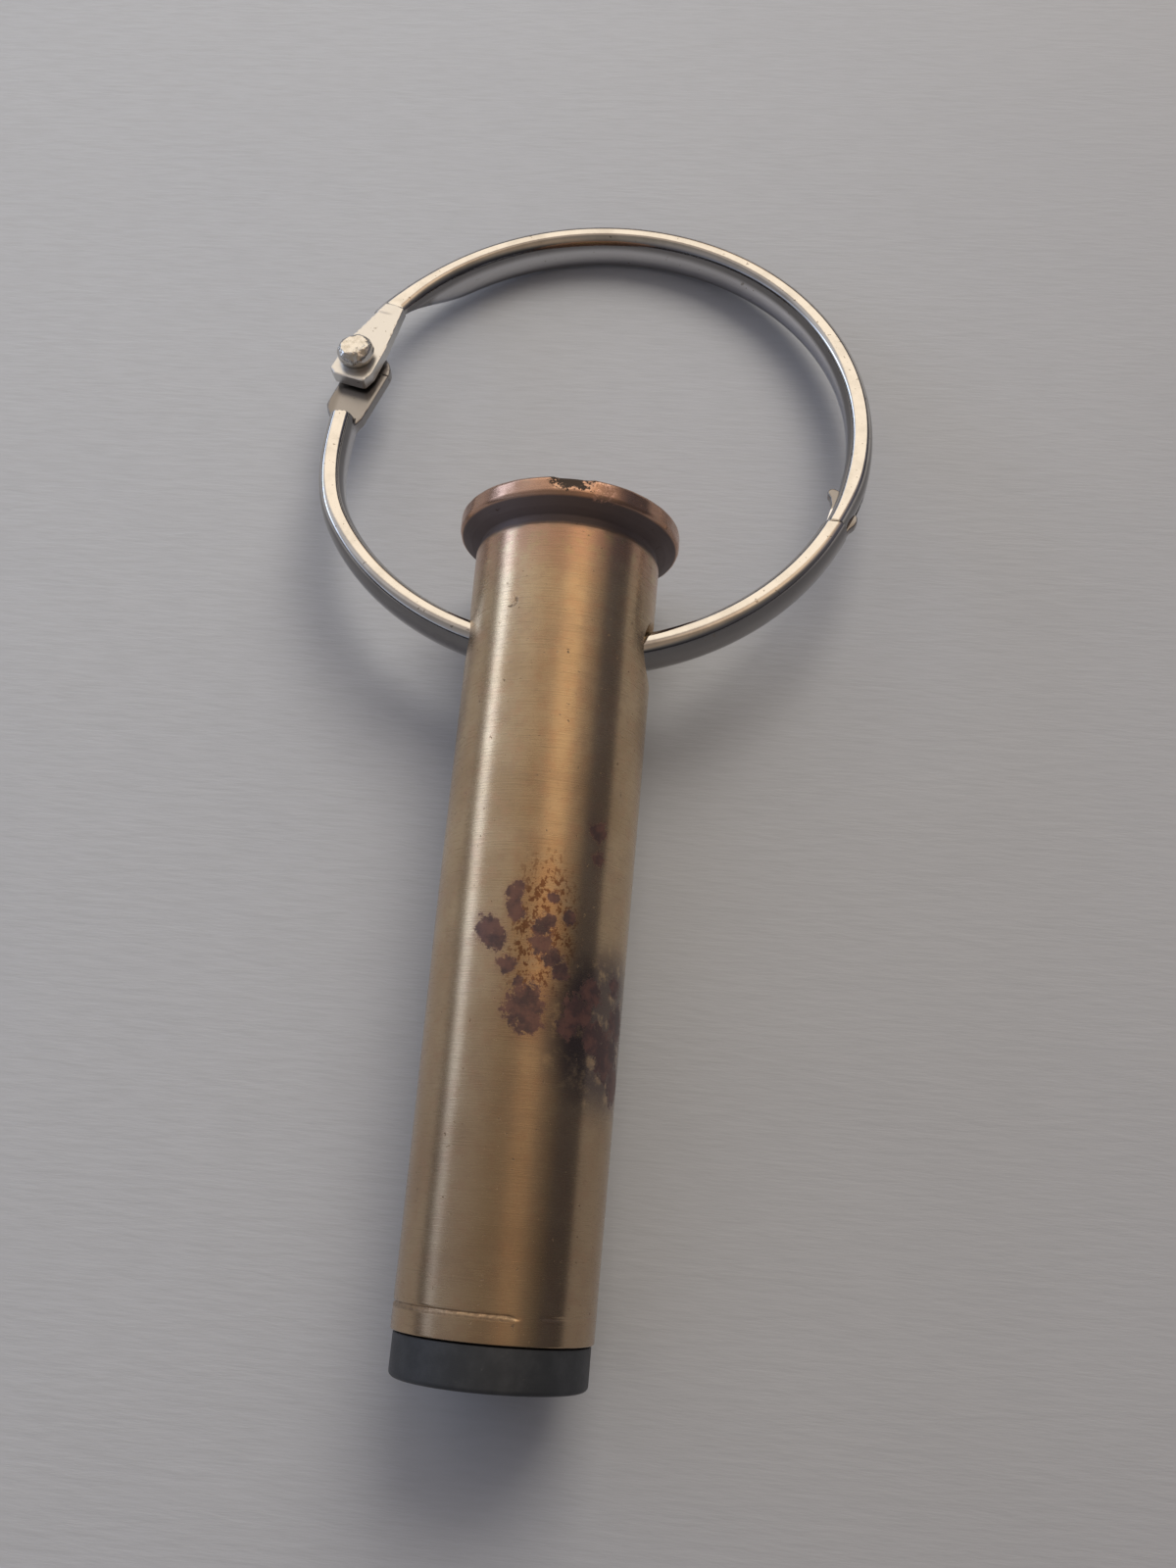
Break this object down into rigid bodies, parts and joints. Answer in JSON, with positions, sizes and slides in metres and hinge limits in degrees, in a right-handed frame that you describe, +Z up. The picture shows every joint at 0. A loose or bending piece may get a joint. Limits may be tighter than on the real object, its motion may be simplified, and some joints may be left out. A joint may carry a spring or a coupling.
{
  "type": "keychain flashlight",
  "caption": "Keychain flashlight built into a rimmed brass cartridge case, with a black twist head in the mouth and a hinged split ring through the head end.",
  "frame": {"origin": "on the surface the part lies on, under the middle of its bounding box", "axes": "+Y from the lens towards the head and the ring, +Z up, +X to the right seen from above with the lens towards the viewer"},
  "size_m": [0.042, 0.087, 0.0155],
  "materials": {
    "case_brass": "aged, fine turning lines, tarnish spots",
    "primer_brass": "satin",
    "sleeve_metal": "turned",
    "head_black": "matte black anodised",
    "ring_nickel": "bright nickel plate",
    "cell_steel": "satin",
    "spring_steel": "drawn wire",
    "contact_brass": "bright",
    "holder_plastic": "natural",
    "board_green": "solder mask",
    "chip_black": "matte",
    "seal_rubber": "matte",
    "lens_clear": "clear",
    "lamp_epoxy": "clear",
    "reflector_metal": "vacuum metallised"
  },
  "bodies": {
    "case": {"cartridge_case": "case_brass", "primer_cup": "primer_brass", "primer_anvil": "primer_brass", "threaded_sleeve": "sleeve_metal", "tail_plug": "sleeve_metal", "tail_spring": "spring_steel", "cell_1": "cell_steel", "cell_2": "cell_steel", "cell_3": "cell_steel", "cell_holder": "holder_plastic"},
    "light_head": {"bezel": "head_black", "neck_seal": "seal_rubber", "front_lens": "lens_clear", "lens_gasket": "seal_rubber", "reflector": "reflector_metal", "circuit_board": "board_green", "ground_track": "contact_brass", "centre_contact": "contact_brass", "resistor": "chip_black", "lamp_leads": "cell_steel", "lamp_body": "lamp_epoxy"},
    "ring_lower": {"ring_lower_arm": "ring_nickel", "hinge_rivet": "ring_nickel"},
    "ring_upper": {"ring_upper_arm": "ring_nickel"}
  },
  "joints": [
    {"name": "head_twist", "type": "hinge", "parent": "case", "child": "light_head", "pos_m": [-0.00036, -0.04081, 0.00609], "axis": [0, 0.9995, 0.0311], "range_deg": [0, 165]},
    {"name": "ring_swing", "type": "hinge", "parent": "case", "child": "ring_lower", "pos_m": [-0.00036, 0.00348, 0.00747], "axis": [1, 0, 0], "range_deg": [-154, 175]},
    {"name": "ring_open", "type": "hinge", "parent": "ring_lower", "child": "ring_upper", "pos_m": [-0.01858, 0.02805, 0.00377], "axis": [0, 0.1487, 0.9889], "range_deg": [0, 100]}
  ]
}
